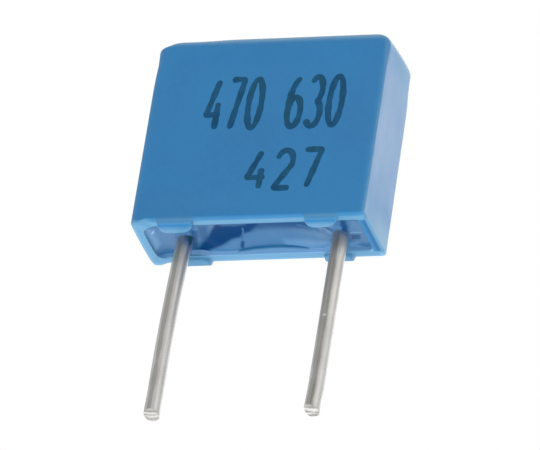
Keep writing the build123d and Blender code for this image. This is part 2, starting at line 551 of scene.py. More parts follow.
def case_grids():
    """The case as one closed surface: two flat faces that are Coons patches, a band, and all the rest."""
    bottom, top, left, right = face_outline()
    flat = coons(bottom, top, left, right)
    depth = np.full(flat.shape[:2], HALF_T)
    front, back = (np.stack([flat[..., 0], side * depth, flat[..., 1]], axis=-1) for side in (-1, 1))
    outside = [(moulded(part), False) for part in (front, back, case_band(left, top, right))]
    return [*outside, (case_inside(), True)]


def case_edges(points):
    """1 on the outer corners and rounds of the case and 0 on its flats, by the limits a point is near."""
    x, y, z = np.abs(points[:, 0]), np.abs(points[:, 1]), points[:, 2]
    near_x, near_y, near_top = (smooth(1 - gap / 0.12) for gap in (HALF_W - x, HALF_T - y, TOP_Z - z))
    near_rim = smooth(1 - np.abs(z - RIM_Z) / 0.08)
    upper = near_x * near_y + near_x * near_top + near_y * near_top
    return np.clip(upper + (near_x + near_y) * near_rim, 0, 1)


# Tones of the case, which are painted light and shade: 0 is plastic as moulded, a higher one is painted
# paler, as if lit, and a lower one is painted deeper, as if shaded.
FRONT_RIM_TONE = 0.46
LIT_RIM_TONE = 1.15
BACK_RIM_TONE = 1.45
BACK_CORNER_TONE = 1.5
FOOT_SIDE_TONE = 0.48
BACK_FOOT_TONE = 0.7
LEFT_POCKET_TONE = 1.3
FRONT_LIP_TONE = -0.7
SHADOW_CRESCENT = run((-0.85, 0.36), (-0.4, 0.42), (0.1, 0.45), (0.5, 0.45), (0.9, 0.42), (1.25, 0.38))


def case_light_and_shade(points):
    """Painted light and shade, paler above 0 and deeper below it: the rim and the feet's soles are painted
    pale, as if lit from below, mostly at the front.

    The left wall's rim is palest, and the right wall's is painted deeper outwards, then pale again. The front
    face's border is painted a little pale as an edge highlight, and so are the right end's top and lower
    part, as if lit. The feet's inner edges are painted highlight lines. The back wall is painted pale inside,
    as if lit, but for a painted shadow crescent just clear of the resin. The inner lip at the front is
    painted shade.
    """
    x, y, z = points.T
    wide, depth, at_front = np.abs(x), np.abs(y), y < 0
    level = RIM_Z - left_drop(x, y)
    under = fall(z, level + 0.02, 0.13)
    turned = fall(depth, HALF_T - 0.17, 0.1) * fall(wide, HALF_W - 0.05, 0.04)
    border = np.minimum(HALF_W - wide + 0.04, TOP_Z - z)
    # Painted highlight on the front face's border and top edge, and painted light on the rim, as if lit from
    # below; the left rim palest.
    tone = (0.3 * fall(border, 0.08, 0.22) + 0.5 * fall(TOP_Z - z, 0.08, 0.32)) * ramp(-y, 0.9, 0.3)
    front = FRONT_RIM_TONE + 0.42 * ramp(-x, 2.9, 0.3) * at_front
    tone = lay(tone, lay(front, LIT_RIM_TONE, turned) - 0.1 * ramp(x, -1.6, 1.2) * at_front, under)
    tone = lay(tone, BACK_RIM_TONE, ramp(y, 1.05, 0.1) * fall(z, level + 0.01, 0.05))
    tone = tone + 0.25 * ramp(-x, 3.3, 0.06) * ramp(-x, 3.48, 0.06) * under
    # The right rim: painted shade inside its outer edge, then a painted highlight at that edge.
    right_rim = 1.6 * ramp(x, 3.51, 0.05) - 0.5 * ramp(x, 3.41, 0.04)
    tone = lay(tone, right_rim, ramp(x, 3.3, 0.06) * fall(depth, 0.85, 0.08) * under)
    tone = lay(tone, BACK_CORNER_TONE, ramp(x, 3.42, 0.08) * ramp(y, 0.95, 0.1) * under)
    # The right end: painted light, most at its bottom and some at its top.
    low = (0.4 + 0.6 * ramp(y, -0.6, 1.4)) * fall(z, 0.2, 1.4)
    high = (0.2 + 0.35 * ramp(y, -0.5, 1.5)) * ramp(z, 4.0, 2.0)
    tone = tone + (low + high) * ramp(x, 3.57, 0.02) * (1 - under)

    # The feet: painted light on the soles, with painted highlight lines along the front feet's edges.
    inset = foot_inset(x, y)
    on_foot = ramp(inset, 0, 0.04) * fall(z, RIM_Z - 0.01, 0.02) * (depth > POCKET_T - 0.2)
    sole = 0.1 + 0.95 * np.clip((1.21 - depth) / (0.4 - 0.08 * (x > 0)), 0, 1)
    sole = np.where(at_front, sole + 0.5 * fall(inset, 0.03, 0.07), BACK_FOOT_TONE)
    tone = lay(tone, lay(FOOT_SIDE_TONE, sole, fall(depth, HALF_T - 0.07, 0.05)), on_foot)

    # Inside the pocket: painted light on the back and left walls, a painted shadow crescent just clear of the
    # resin, and painted shade on the front inner lip.
    gap = 0.005
    inside = (wide < POCKET_W + gap) & (depth < POCKET_T + gap) & (z < SHOWN_Z) & (z > RIM_Z - 0.01)
    wall = np.where(wide < 1.35, 1.8, np.where(wide < 2.3, 2.0, 1.5))
    wall = wall - 1.6 * near_line(x, z, SHADOW_CRESCENT, 0.05, 0.09)
    at_end = x < -POCKET_W + 0.15
    tone = np.where(inside & (y > 0), wall, tone)
    tone = np.where(inside & at_end, LEFT_POCKET_TONE, tone)
    mouth = (np.abs(depth - POCKET_T) < 0.045) & (wide < POCKET_W) & (z < 0.3)
    lip = (inside | mouth) & at_front & (on_foot < 0.5) & (x > -POCKET_W + 0.15)
    return np.where(lip, FRONT_LIP_TONE, tone)


# ---------------- resin
CREASE = run((-0.56, 0.05), (-0.6, 0.25), (-0.7, 0.54), (-0.78, 0.84))
PIT = run((-0.72, 0.68), (-0.76, 0.82))


def resin_height(x, y):
    """The visible surface of the resin: a flat level, a dish between the leads, and collars up the leads.

    The dish is the cap of an ellipsoid. Each collar is the surface that a quarter circle sweeps round its
    lead. Near the walls the resin turns up the plastic in a narrow meniscus, which is wide and tall at the
    left wall. The level waves very slightly, and a small crease ends in a pit.
    """
    half_depth = 2 * DISH_DEPTH
    half_length = DISH_REACH / np.sqrt(0.75)
    half_breadth = POCKET_T / np.sqrt(1 - ((DISH_WALL_HEIGHT + DISH_DEPTH) / half_depth) ** 2)
    cap = 1 - ((x - DISH_X) / half_length) ** 2 - (y / half_breadth) ** 2
    dish = RESIN_Z - DISH_DEPTH + half_depth * np.sqrt(np.maximum(cap, 0))
    blend = 0.05
    level = 0.5 * (dish + RESIN_Z + np.sqrt((dish - RESIN_Z) ** 2 + blend**2)) - 0.012
    wall = np.minimum(POCKET_W - np.abs(x), POCKET_T - np.abs(y))
    level = level - (0.02 - 0.018 * smooth(y / 0.4)) * np.exp(-np.maximum(wall, 0) / 0.03)
    level = level - 0.17 * np.exp(-np.maximum(x + POCKET_W, 0) / 0.1)
    level = level + 0.004 * np.sin(2.3 * x + 1.7 * y + 0.6) * np.sin(3.1 * y - 1.3 * x)
    for depth, half_width, line in ((0.012, 0.02, CREASE), (0.05, 0.03, PIT)):
        level = level + depth * near_line(x, y, line, half_width, 0.08)
    for side in (-1, 1):
        gap = np.hypot(x - side * LEAD_X - lean(side, 0.0), y) - LEAD_R
        inward = np.clip(COLLAR - gap, 0, COLLAR)
        level = level - (COLLAR - np.sqrt(COLLAR**2 - inward**2))
    return level


# A painted reflection: the dark one that the glossy dish's steep left flank shows.
DARK_REFLECTION_BAND = run(
    (-1.15, -0.66), (-1.58, 0.0), (-1.87, 0.34), (-2.12, 0.68), (-2.1, 0.84), (-1.86, 0.87), (-1.46, 0.64),
    (-1.0, 0.46), (-0.72, 0.44), (-0.6, 0.3), (-0.38, 0.24), (-0.1, -0.1), (0.0, -0.6),
)

# Painted light, shade, shadows and reflections on the resin, where it is deeper or paler than its mean: the
# tone, the softness and the outline of each place.
RESIN_FIELDS = [
    (0.45, 0.4, run((-3.7, -1.2), (-3.15, -1.2), (-3.15, 1.2), (-3.7, 1.2))),
    (-0.5, 0.06, run((-0.75, 0.85), (1.2, 0.85), (1.2, 1.0), (-0.75, 1.0))),
    (0.12, 0.3, run((-1.62, 0.88), (-1.36, 0.63), (-1.02, 0.49), (-0.78, 0.51), (-0.86, 0.89))),
    (-0.12, 0.5, run((-0.7, -0.7), (-0.6, 0.28), (0.2, 0.22), (1.5, 0.1), (1.5, -0.7))),
    (-0.64, 0.5, run((-0.7, -0.9), (-0.62, 0.22), (0.0, 0.24), (0.7, 0.2), (1.6, 0.1), (1.7, -0.9))),
    (-0.35, 0.15, run((1.6, -0.15), (2.1, -0.2), (2.05, 0.05), (1.75, 0.15))),
    (0.28, 0.3, run((0.5, 0.66), (1.3, 0.56), (2.2, 0.45), (2.2, 1.0), (0.5, 1.0))),
    (0.3, 0.2, run((-2.0, 0.45), (-1.62, 0.55), (-1.55, 1.0), (-2.1, 1.0))),
    (-0.5, 0.2, run((-1.76, -0.6), (-1.4, -0.6), (-1.6, 0.05), (-1.9, 0.3))),
    (-0.6, 0.16, run((-2.02, -0.4), (-1.8, -0.3), (-1.93, 0.19), (-2.12, 0.75), (-2.3, 0.75))),
    (-0.25, 0.4, run((-3.36, 0.58), (-3.05, 0.42), (-2.75, 0.45), (-2.85, 0.95), (-3.36, 0.95))),
    (-0.75, 0.16, run((2.72, -0.8), (2.91, -0.8), (2.84, -0.21), (2.66, 0.24), (2.45, 0.2))),
    (-0.12, 0.25, run((2.9, -0.8), (3.25, -0.8), (3.3, 0.0), (2.8, -0.01))),
    (0.3, 0.2, run((2.6, 0.55), (2.93, 0.57), (3.04, 0.81), (3.1, 0.97), (2.4, 0.93))),
    (-0.55, 0.07, run((2.79, 0.15), (3.08, 0.17), (3.06, 0.35), (2.98, 0.45), (2.73, 0.43))),
    (-1.0, 0.26, DARK_REFLECTION_BAND),
    (-0.5, 0.2, run((-1.3, -0.9), (-0.35, -0.9), (-0.4, -0.1), (-0.75, -0.1), (-1.1, -0.28))),
]

# The same for thin lines of painted shade and highlight, such as the painted shade in the crease and the pit:
# the tone, half the width, the softness and the line.
RESIN_LINES = [
    (-0.35, 0.03, 0.05, CREASE),
    (-0.7, 0.05, 0.1, PIT),
    (-0.35, 0.04, 0.07, run((1.2, -0.1), (1.63, -0.02), (1.91, 0.03), (2.16, 0.24))),
    (-0.6, 0.06, 0.08, run((2.12, -0.27), (2.28, -0.13))),
    (0.35, 0.02, 0.05, run((2.09, -0.24), (2.2, 0.06))),
    (0.15, 0.07, 0.1, run((2.41, -0.34), (2.56, -0.28))),
    (0.45, 0.022, 0.04, run((2.79, 0.05), (3.13, 0.06))),
    (-0.35, 0.03, 0.08, run((2.89, 0.71), (3.02, 0.79), (3.12, 0.86))),
    (0.9, 0.02, 0.04, run((-3.21, -0.34), (-3.14, -0.42))),
]


def resin_light_and_shade(points):
    """The resin's painted light and shade, from -1 for painted shade and dark reflections to 1 for painted
    highlights: each place is laid over those before it.
    """
    x, y, z = points.T
    tone = np.zeros(len(points))
    for value, soft, corners in RESIN_FIELDS:
        tone = lay(tone, value, in_outline(x, y, corners, soft))
    for value, half_width, soft, line in RESIN_LINES:
        tone = lay(tone, value, near_line(x, y, line, half_width, soft))
    return np.where(z < SHOWN_Z, tone, 0)


def resin_grids():
    """The resin: rounded rectangles shrink from the pocket's wall to a spine at the surface's own height.

    The same rectangles climb the wall to the roof and close there. The film block is inside, out of sight.
    """
    rows = []
    reach_x, reach_y = POCKET_W + 0.004, POCKET_T + 0.004
    depths = np.concatenate([[0, 0.006, 0.014, 0.025, 0.04, 0.06], np.linspace(0.085, 1, 42) * reach_y])
    depths = np.unique(np.minimum(depths, reach_y))
    for depth in depths[::-1]:
        x, y = loop(reach_x - depth, reach_y - depth, POCKET_CORNER * (1 - depth / reach_y))
        rows.append((x, y, resin_height(x, y)))
    edge_x, edge_y, edge_z = rows[-1]
    for share in np.linspace(0, 1, 8)[1:]:
        z = lay(edge_z, ROOF_Z - 0.002, share)
        inward = (z - RIM_Z) * POCKET_DRAFT
        rows.append((edge_x - LOOP_NX * inward, edge_y - LOOP_NY * inward, z))
    close_roof(rows)
    return [(as_grid(rows), True)]


# ---------------- leads
def lead_grids(side, turn):
    """One lead: circles carried up from a sheared tip, which go over into ovals inside the resin.

    The cut is a slope that faces outwards at `turn` degrees, with a narrow flat left at its heel and the
    ridges that the shear leaves across it.
    """
    around = np.linspace(0, 2 * np.pi, 64, endpoint=False)
    circle_x, circle_y = np.cos(around), np.sin(around)
    facing = np.radians(turn)
    rows = []

    def cut_height(share):
        x, y = share * WORN_R * circle_x, share * WORN_R * circle_y
        back = -x * np.sin(facing) + y * np.cos(facing)
        slope = np.maximum(CUT_LAND - back, 0) * CUT_SLOPE
        soft = 0.5 * (slope + np.sqrt(slope**2 + 0.0004)) - 0.01
        across = x * np.cos(facing) + y * np.sin(facing)
        ridges = 0.005 * np.sin(back * 42 + 0.8 + 1.2 * np.sin(3 * across))
        return TIP_Z + np.maximum(soft, 0) + smooth((1 - np.hypot(x, y) / WORN_R) / 0.25) * (0.006 + ridges)

    def add_row(x_scale, y_scale, z):
        rows.append((x_scale * circle_x, y_scale * circle_y, z + 0 * circle_x))

    for share in np.linspace(0, 0.94, 30):
        add_row(share * WORN_R, share * WORN_R, cut_height(share))
    rim = cut_height(0.94)
    for share, lift in ((0.97, 0.004), (0.99, 0.012), (1, CUT_ROUND)):
        add_row(share * WORN_R, share * WORN_R, rim + lift)
    root = RESIN_Z - COLLAR + 0.03
    for share in np.linspace(0, 1, 120)[1:]:
        z = lay(rim + CUT_ROUND, root, share)
        wave = 1 - 0.01 * (0.5 + 0.5 * np.sin(1.9 * z + 2 * around + side)) * smooth(share * 6)
        add_row(WORN_R * wave, WORN_R * wave, z)
    for share in np.linspace(0, 1, 8)[1:]:
        add_row(lay(WORN_R, WELD_X, share), lay(WORN_R, WELD_Y, share), lay(root, 1.0, share))
    for share, z in ((1, 2.5), (1, TAIL_Z - 0.06), (0.75, TAIL_Z), (0, TAIL_Z)):
        add_row(share * WELD_X, share * WELD_Y, z)
    points = as_grid(rows)
    points[..., 0] += side * LEAD_X + lean(side, points[..., 2])
    return [(points, True)]


def paint_lead(lead, side):
    """Keeps what the wire's material reads: where it is cut bright, its painted dark reflection at its front,
    and its painted blue reflection and shade at its root.

    Places round the wire are angles from its front, in degrees, and positive to the right.
    """
    x, y, z = vertex_positions(lead).T
    x = x - side * LEAD_X
    facing = np.degrees(np.arctan2(x - lean(side, z), -y))
    at_tip = (z < TIP_Z + 0.3) * (np.hypot(x - lean(side, TIP_Z), y) < 0.975 * WORN_R)
    nick = (side > 0) * swell(facing, -4.5, 12) * swell(z, -2.65, 0.035)
    paint(lead, "cut", np.maximum(at_tip * (1 - 0.6 * fall(z, TIP_Z + 0.015, 0.015)), nick))
    # The streak down each wire's front is a painted dark reflection.
    if side < 0:
        dark_reflection = fall(np.abs(facing + 8), 9, 16)
    else:
        dark_reflection = fall(np.abs(facing + 6), 16, 16) + 0.5 * fall(np.abs(facing - 2), 3, 8)
    paint(lead, "dark_reflection", dark_reflection)
    # The root: a painted reflection of the blue resin near it, a painted shade patch, and painted shade along
    # the left lead's right edge.
    near = ramp(z, -0.5 + 0.3 * (side > 0) * smooth(facing / 50), 0.9) * (0.6 + 0.4 * ramp(facing, 15, 40))
    shade = ramp(facing, 4 + 6 * side, 22) * fall(facing, 85, 15) * ramp(z, -0.08 + 0.08 * side, 0.32)
    edge_shade = 0.7 * fall(np.abs(facing - 64), 6, 10) * ramp(z, -0.7, 0.3) * (side < 0)
    paint(lead, "root", near + shade + edge_shade)


# ---------------- marking
# Each digit's strokes, in a frame where it is 1 wide and 1 high.
DIGITS = {
    "0": [arc(0.5, 0.5, 0.42, 0.5, 60, 445)],
    "2": [np.concatenate([arc(0.5, 0.72, 0.4, 0.28, 170, -25), run((0.08, 0.0), (0.95, 0.0))])],
    "3": [arc(0.46, 0.74, 0.38, 0.26, 150, -88), arc(0.46, 0.26, 0.44, 0.26, 92, -155)],
    "4": [run((0.62, 1.0), (0.04, 0.3), (0.98, 0.3)), run((0.72, 0.55), (0.72, 0.0))],
    "6": [arc(0.78, 0.42, 0.7, 0.58, 100, 200), arc(0.5, 0.3, 0.42, 0.3, 130, 515)],
    "7": [run((0.04, 1.0), (0.92, 1.0), (0.4, 0.0))],
}


# Each row of digits: its piece, its signs, its start, the step between signs, a sign's size, and a seed.
DIGIT_ROWS = [
    ("upper_digits", "470 630", (-1.8, 3.27), 0.625, (0.47, 1.72), 5),
    ("lower_digits", "427", (-0.22, 1.16), 0.83, (0.6, 1.3), 90),
]
INK_PROFILE = run(
    (-1, -0.6), (-1, 0.2), (-0.86, 0.75), (-0.6, 1), (0.6, 1), (0.86, 0.75), (1, 0.2), (1, -0.6)
)


def ribbon(line, seed, layer):
    """A raised line of ink along a path on the front face, a little thicker towards its end.

    The path is sampled at even lengths and its corners are eased. The profile is a flat top with rounded
    flanks, its width waves a little as ink does, and its ends close in half circles. A later layer is higher.
    """
    steps = np.concatenate([[0], np.cumsum(np.linalg.norm(np.diff(line, axis=0), axis=1))])
    along = np.linspace(0, steps[-1], max(24, int(steps[-1] / 0.035)))
    spot = np.stack([np.interp(along, steps, line[:, axis]) for axis in (0, 1)], axis=1)
    for _ in range(2):
        spot[1:-1] = 0.25 * spot[:-2] + 0.5 * spot[1:-1] + 0.25 * spot[2:]
    heading = np.gradient(spot, axis=0)
    heading /= np.linalg.norm(heading, axis=1, keepdims=True)
    left = np.stack([-heading[:, 1], heading[:, 0]], axis=1)
    phase = np.random.default_rng(seed).uniform(0, 6.28, 3)
    wave = 1 + 0.09 * np.sin(along * 7 + phase[0]) + 0.06 * np.sin(along * 17 + phase[1])
    to_end = np.minimum(along, along[-1] - along) / INK_HALF_WIDTH
    cap = np.sqrt(np.clip(1 - (1 - np.clip(to_end, 0, 1)) ** 2, 0, 1))
    width = INK_HALF_WIDTH * wave * cap
    flat = spot[:, None] + left[:, None] * (width[:, None] * INK_PROFILE[:, 0])[..., None]
    thick = INK_HEIGHT * (0.8 + 0.3 * along / along[-1] + 0.4 * layer)
    rise = thick[:, None] * (INK_PROFILE[:, 1] * np.maximum(cap, 0.05)[:, None])
    surface = face_depth(flat[..., 0], flat[..., 1])
    return np.stack([flat[..., 0], -(surface + rise), flat[..., 1]], axis=-1)


def marking_grids(signs, start, pitch, size, seed):
    """A row of plain digits: each stroke of each digit is a ribbon of ink."""
    grids = []
    for place, sign in enumerate(signs):
        for number, stroke in enumerate(DIGITS.get(sign, [])):
            line = stroke * np.array(size)
            line[:, 0] += start[0] + place * pitch + INK_SLANT * line[:, 1]
            line[:, 1] += start[1]
            grids.append((ribbon(line, seed + 7 * place + number, number), True))
    return grids


# ---------------- node materials
def linear(red, green, blue):
    """A colour given in 0 to 255 as screens show it, as Blender's linear colour."""
    share = np.array([red, green, blue]) / 255
    value = np.where(share <= 0.04045, share / 12.92, ((share + 0.055) / 1.055) ** 2.4)
    return (*value.tolist(), 1.0)


def feed(tree, socket, value):
    """Gives a socket a constant or another node's output."""
    if isinstance(value, bpy.types.NodeSocket):
        tree.links.new(value, socket)
    else:
        socket.default_value = value


def node(tree, kind, inputs=None, **settings):
    """Adds a node: settings are its own fields, and inputs are what its sockets are fed."""
    made = tree.nodes.new(kind)
    for key, value in settings.items():
        setattr(made, key, value)
    for key, value in (inputs or {}).items():
        feed(tree, made.inputs[key], value)
    return made


def mixed(tree, share, first, second):
    """A colour that goes from first to second as share goes from 0 to 1."""
    inputs = {0: share, 6: first, 7: second}
    return node(tree, "ShaderNodeMix", inputs, data_type="RGBA").outputs[2]


def spread(tree, value, low, high, to_low=0.0, to_high=1.0):
    """Stretches a value's range, smoothly and with its ends held."""
    made = node(
        tree,
        "ShaderNodeMapRange",
        {"Value": value, "From Min": low, "From Max": high, "To Min": to_low, "To Max": to_high},
        interpolation_type="SMOOTHSTEP",
    )
    return made.outputs["Result"]


def sums(tree, operation, first, second):
    """Arithmetic on two values."""
    return node(tree, "ShaderNodeMath", {0: first, 1: second}, operation=operation).outputs[0]


def group(name, inputs, outputs, build):
    """A node group with named inputs and outputs, filled by build(tree, input node, output node)."""
    tree = bpy.data.node_groups.new(name, "ShaderNodeTree")
    for label, kind, value in inputs:
        socket = tree.interface.new_socket(label, in_out="INPUT", socket_type=kind)
        if value is not None:
            socket.default_value = value
    for label, kind in outputs:
        tree.interface.new_socket(label, in_out="OUTPUT", socket_type=kind)
    build(tree, tree.nodes.new("NodeGroupInput").outputs, tree.nodes.new("NodeGroupOutput").inputs)
    return tree


def use(tree, shared, *inputs):
    """Places a shared group in a material, feeds its inputs in their order and returns its outputs."""
    return node(tree, "ShaderNodeGroup", dict(enumerate(inputs)), node_tree=shared).outputs


def noise(tree, vector, scale, detail):
    """Noise from 0 to 1 round about a half."""
    made = node(tree, "ShaderNodeTexNoise", {"Vector": vector, "Scale": scale, "Detail": detail})
    return made.outputs["Fac"]


def build_mottle(tree, given, out):
    """Soft cloudy variation: noise of one size, with its contrast set."""
    height = noise(tree, given["Vector"], given["Scale"], 3.0)
    low, high = (sums(tree, operation, 0.5, given["Spread"]) for operation in ("SUBTRACT", "ADD"))
    tree.links.new(spread(tree, height, low, high), out["Mask"])
    tree.links.new(height, out["Height"])


def build_grain(tree, given, out):
    """A fine moulded or sprayed grain: two sizes of noise, added as heights."""
    fine = noise(tree, given["Vector"], given["Scale"], 2.0)
    broad = noise(tree, given["Vector"], sums(tree, "MULTIPLY", given["Scale"], 0.22), 2.0)
    height = sums(tree, "ADD", fine, sums(tree, "MULTIPLY", broad, given["Broad"]))
    tree.links.new(height, out["Height"])


def build_edge_wear(tree, given, out):
    """Where handling has rubbed the edges: the painted edge mask, broken up by noise."""
    breaks = sums(tree, "SUBTRACT", noise(tree, given["Vector"], given["Scale"], 4.0), 0.62)
    tree.links.new(spread(tree, sums(tree, "ADD", given["Edge"], breaks), 0.25, 0.85), out["Mask"])


def build_streaks(tree, given, out):
    """Long thin lines along Z, as a drawn wire has: noise that is stretched along its length."""
    stretch = node(tree, "ShaderNodeCombineXYZ", {0: given["Across"], 1: given["Across"], 2: given["Along"]})
    factors = {0: given["Vector"], 1: stretch.outputs[0]}
    point = node(tree, "ShaderNodeVectorMath", factors, operation="MULTIPLY").outputs[0]
    height = noise(tree, point, 1.0, 3.0)
    tree.links.new(spread(tree, height, 0.35, 0.65), out["Mask"])
    tree.links.new(height, out["Height"])


VECTOR, FLOAT = "NodeSocketVector", "NodeSocketFloat"
POINT = ("Vector", VECTOR, None)
MASK, HEIGHT = ("Mask", FLOAT), ("Height", FLOAT)
mottle = group(
    "mottle", [POINT, ("Scale", FLOAT, 1000.0), ("Spread", FLOAT, 0.15)], [MASK, HEIGHT], build_mottle
)
grain = group("grain", [POINT, ("Scale", FLOAT, 20000.0), ("Broad", FLOAT, 0.8)], [HEIGHT], build_grain)
edge_wear = group(
    "edge_wear", [("Edge", FLOAT, 0.0), POINT, ("Scale", FLOAT, 2500.0)], [MASK], build_edge_wear
)
streaks = group(
    "streaks", [POINT, ("Across", FLOAT, 20000.0), ("Along", FLOAT, 400.0)], [MASK, HEIGHT], build_streaks
)


def dress(tree, shader, settings):
    """Feeds a shader's sockets by their names."""
    for name, value in settings.items():
        feed(tree, shader.inputs[name], value)


def material(describe):
    """Builds a finish from the function that describes it, which is given a tree and Object coordinates.

    The function returns the shader's settings, a height and how far in millimetres the height stands out.
    """
    made = bpy.data.materials.new(describe.__name__)
    made.use_nodes = True
    tree = made.node_tree
    point = tree.nodes.new("ShaderNodeTexCoord").outputs["Object"]
    settings, height, distance = describe(tree, point)
    shader = tree.nodes["Principled BSDF"]
    dress(tree, shader, settings)
    rise = node(tree, "ShaderNodeBump", {"Height": height, "Distance": distance * MM, "Strength": 1.0})
    tree.links.new(rise.outputs["Normal"], shader.inputs["Normal"])
    return made


def painted(tree, name):
    """A number that paint() has kept on the piece."""
    return node(tree, "ShaderNodeAttribute", attribute_name=name).outputs["Fac"]


def moulded_blue(tree, point):
    """Blue moulded plastic: satin and faintly clouded, paler where its edges are worn, and paler or deeper by
    its tone, which is painted light and shade.
    """
    cloud = use(tree, mottle, point, 420.0, 0.2)
    fleck = use(tree, mottle, point, 5200.0, 0.12)
    wear = use(tree, edge_wear, painted(tree, "edge"), point, 2600.0)
    tone = painted(tree, "tone")
    body = mixed(tree, cloud["Mask"], linear(6, 106, 163), linear(12, 112, 168))
    body = mixed(tree, sums(tree, "MULTIPLY", fleck["Mask"], 0.2), body, linear(20, 118, 172))
    body = mixed(tree, sums(tree, "MULTIPLY", wear["Mask"], 0.25), body, linear(96, 150, 190))
    # The tone is painted light and shade: paler, as if lit, above 0 and deeper, as if shaded, below it.
    body = mixed(tree, spread(tree, tone, 0.0, 1.0), body, linear(86, 144, 183))
    body = mixed(tree, spread(tree, tone, 1.0, 2.0), body, linear(136, 187, 230))
    body = mixed(tree, spread(tree, tone, 0.0, -1.0), body, linear(6, 62, 112))
    rough = spread(tree, cloud["Height"], 0.3, 0.7, 0.36, 0.46)
    height = use(tree, grain, point, 16000.0, 1.2)["Height"]
    settings = {"Base Color": body, "Roughness": rough, "Specular IOR Level": 0.5}
    return settings, height, 0.0009


def potting_resin(tree, point):
    """Glossy epoxy: dusty lavender blue. Its tone is painted light, shade and reflection: paler where it is
    high, and deeper and without its glossy coat where it is low.
    """
    cloud = use(tree, mottle, point, 900.0, 0.2)
    tone = painted(tree, "tone")
    body = mixed(tree, cloud["Mask"], linear(58, 108, 154), linear(70, 116, 158))
    body = mixed(tree, spread(tree, tone, 0.0, 1.0), body, linear(150, 200, 240))
    body = mixed(tree, spread(tree, tone, 0.0, -1.0), body, linear(10, 58, 108))
    settings = {
        "Base Color": body,
        "Roughness": spread(tree, cloud["Height"], 0.3, 0.7, 0.14, 0.24),
        # The glossy coat fades out under the painted dark reflection and shade.
        "Coat Weight": spread(tree, tone, -0.9, -0.1, 0.0, 0.5),
        "Coat Roughness": 0.12,
        "Specular IOR Level": 0.03,
    }
    return settings, cloud["Height"], 0.006


def tinned_wire(tree, point):
    """Tinned copper wire: silver with fine drawing lines and a ragged streak of painted dark reflection,
    bright where it is cut, with painted reflection and shade at its root.
    """
    drawn = use(tree, streaks, point, 22000.0, 500.0)
    broad = use(tree, streaks, point, 5000.0, 700.0)
    stain = use(tree, mottle, point, 1500.0, 0.16)
    axes = node(tree, "ShaderNodeSeparateXYZ", {"Vector": point}).outputs
    turned = node(tree, "ShaderNodeCombineXYZ", {0: axes[2], 1: axes[1], 2: axes[0]}).outputs[0]
    shear = use(tree, streaks, turned, 11000.0, 900.0)
    cut = painted(tree, "cut")
    # The painted dark reflection down the wire's front, its edges made ragged by the stain's noise.
    ragged = sums(tree, "MULTIPLY", sums(tree, "SUBTRACT", stain["Height"], 0.5), 1.4)
    film = sums(tree, "ADD", painted(tree, "dark_reflection"), ragged)
    body = mixed(tree, broad["Mask"], linear(172, 170, 167), linear(184, 182, 179))
    body = mixed(tree, spread(tree, film, 0.25, 0.75), body, linear(142, 140, 136))
    body = mixed(tree, spread(tree, film, 1.1, 1.6), body, linear(120, 116, 112))
    body = mixed(tree, sums(tree, "MULTIPLY", drawn["Mask"], 0.2), body, linear(164, 160, 155))
    body = mixed(tree, sums(tree, "MULTIPLY", stain["Mask"], 0.14), body, linear(140, 136, 128))
    # The root's tone is a painted reflection of the blue resin, deepening into painted shade.
    root = painted(tree, "root")
    body = mixed(tree, spread(tree, root, 0.0, 1.0), body, linear(120, 142, 172))
    body = mixed(tree, spread(tree, root, 1.0, 2.0), body, linear(44, 92, 108))
    bright = mixed(tree, shear["Mask"], linear(158, 157, 154), linear(234, 233, 231))
    body = mixed(tree, cut, body, bright)
    rough = spread(tree, drawn["Height"], 0.3, 0.7, 0.3, 0.42)
    lines = sums(tree, "MULTIPLY", sums(tree, "ADD", drawn["Height"], broad["Height"]), 0.3)
    ridges = sums(tree, "MULTIPLY", sums(tree, "MULTIPLY", shear["Height"], cut), 0.8)
    settings = {"Base Color": body, "Metallic": 0.5, "Roughness": rough}
    return settings, sums(tree, "ADD", lines, ridges), 0.008


def marking_ink(tree, point):
    """Dark teal ink, thin in places so that the blue shows through."""
    worn = use(tree, mottle, point, 3600.0, 0.14)
    tone = use(tree, mottle, point, 1300.0, 0.2)
    body = mixed(tree, tone["Mask"], linear(10, 66, 102), linear(20, 74, 100))
    body = mixed(tree, sums(tree, "MULTIPLY", worn["Mask"], 0.25), body, linear(30, 100, 148))
    settings = {"Base Color": body, "Roughness": 0.5, "Specular IOR Level": 0.12}
    return settings, worn["Height"], 0.003


def metallised_film(tree, point):
    """Polyester film with its thin bright metal coat, faintly rippled across its length."""
    ripple = use(tree, streaks, point, 2500.0, 300.0)
    cloud = use(tree, mottle, point, 1200.0, 0.2)
    body = mixed(tree, cloud["Mask"], linear(196, 198, 200), linear(214, 214, 212))
    rough = spread(tree, ripple["Height"], 0.3, 0.7, 0.18, 0.32)
    settings = {"Base Color": body, "Metallic": 0.9, "Roughness": rough}
    return settings, ripple["Height"], 0.006


def blank_film(tree, point):
    """Bare polyester film in many layers: milky and faintly warm, with the layers' edges as fine lines."""
    bands = {"Vector": point, "Scale": 9000.0, "Distortion": 1.5}
    layers = node(tree, "ShaderNodeTexWave", bands, bands_direction="Y").outputs["Fac"]
    cloud = use(tree, mottle, point, 1500.0, 0.2)
    body = mixed(tree, cloud["Mask"], linear(214, 210, 196), linear(228, 225, 214))
    body = mixed(tree, sums(tree, "MULTIPLY", layers, 0.12), body, linear(170, 164, 146))
    return {"Base Color": body, "Roughness": 0.3}, layers, 0.002


def sprayed_metal(tree, point):
    """Metal sprayed on as droplets: matt grey with a coarse grain."""
    cloud = use(tree, mottle, point, 6000.0, 0.15)
    height = use(tree, grain, point, 11000.0, 1.5)["Height"]
    body = mixed(tree, cloud["Mask"], linear(132, 132, 130), linear(172, 171, 167))
    return {"Base Color": body, "Metallic": 0.8, "Roughness": 0.62}, height, 0.02


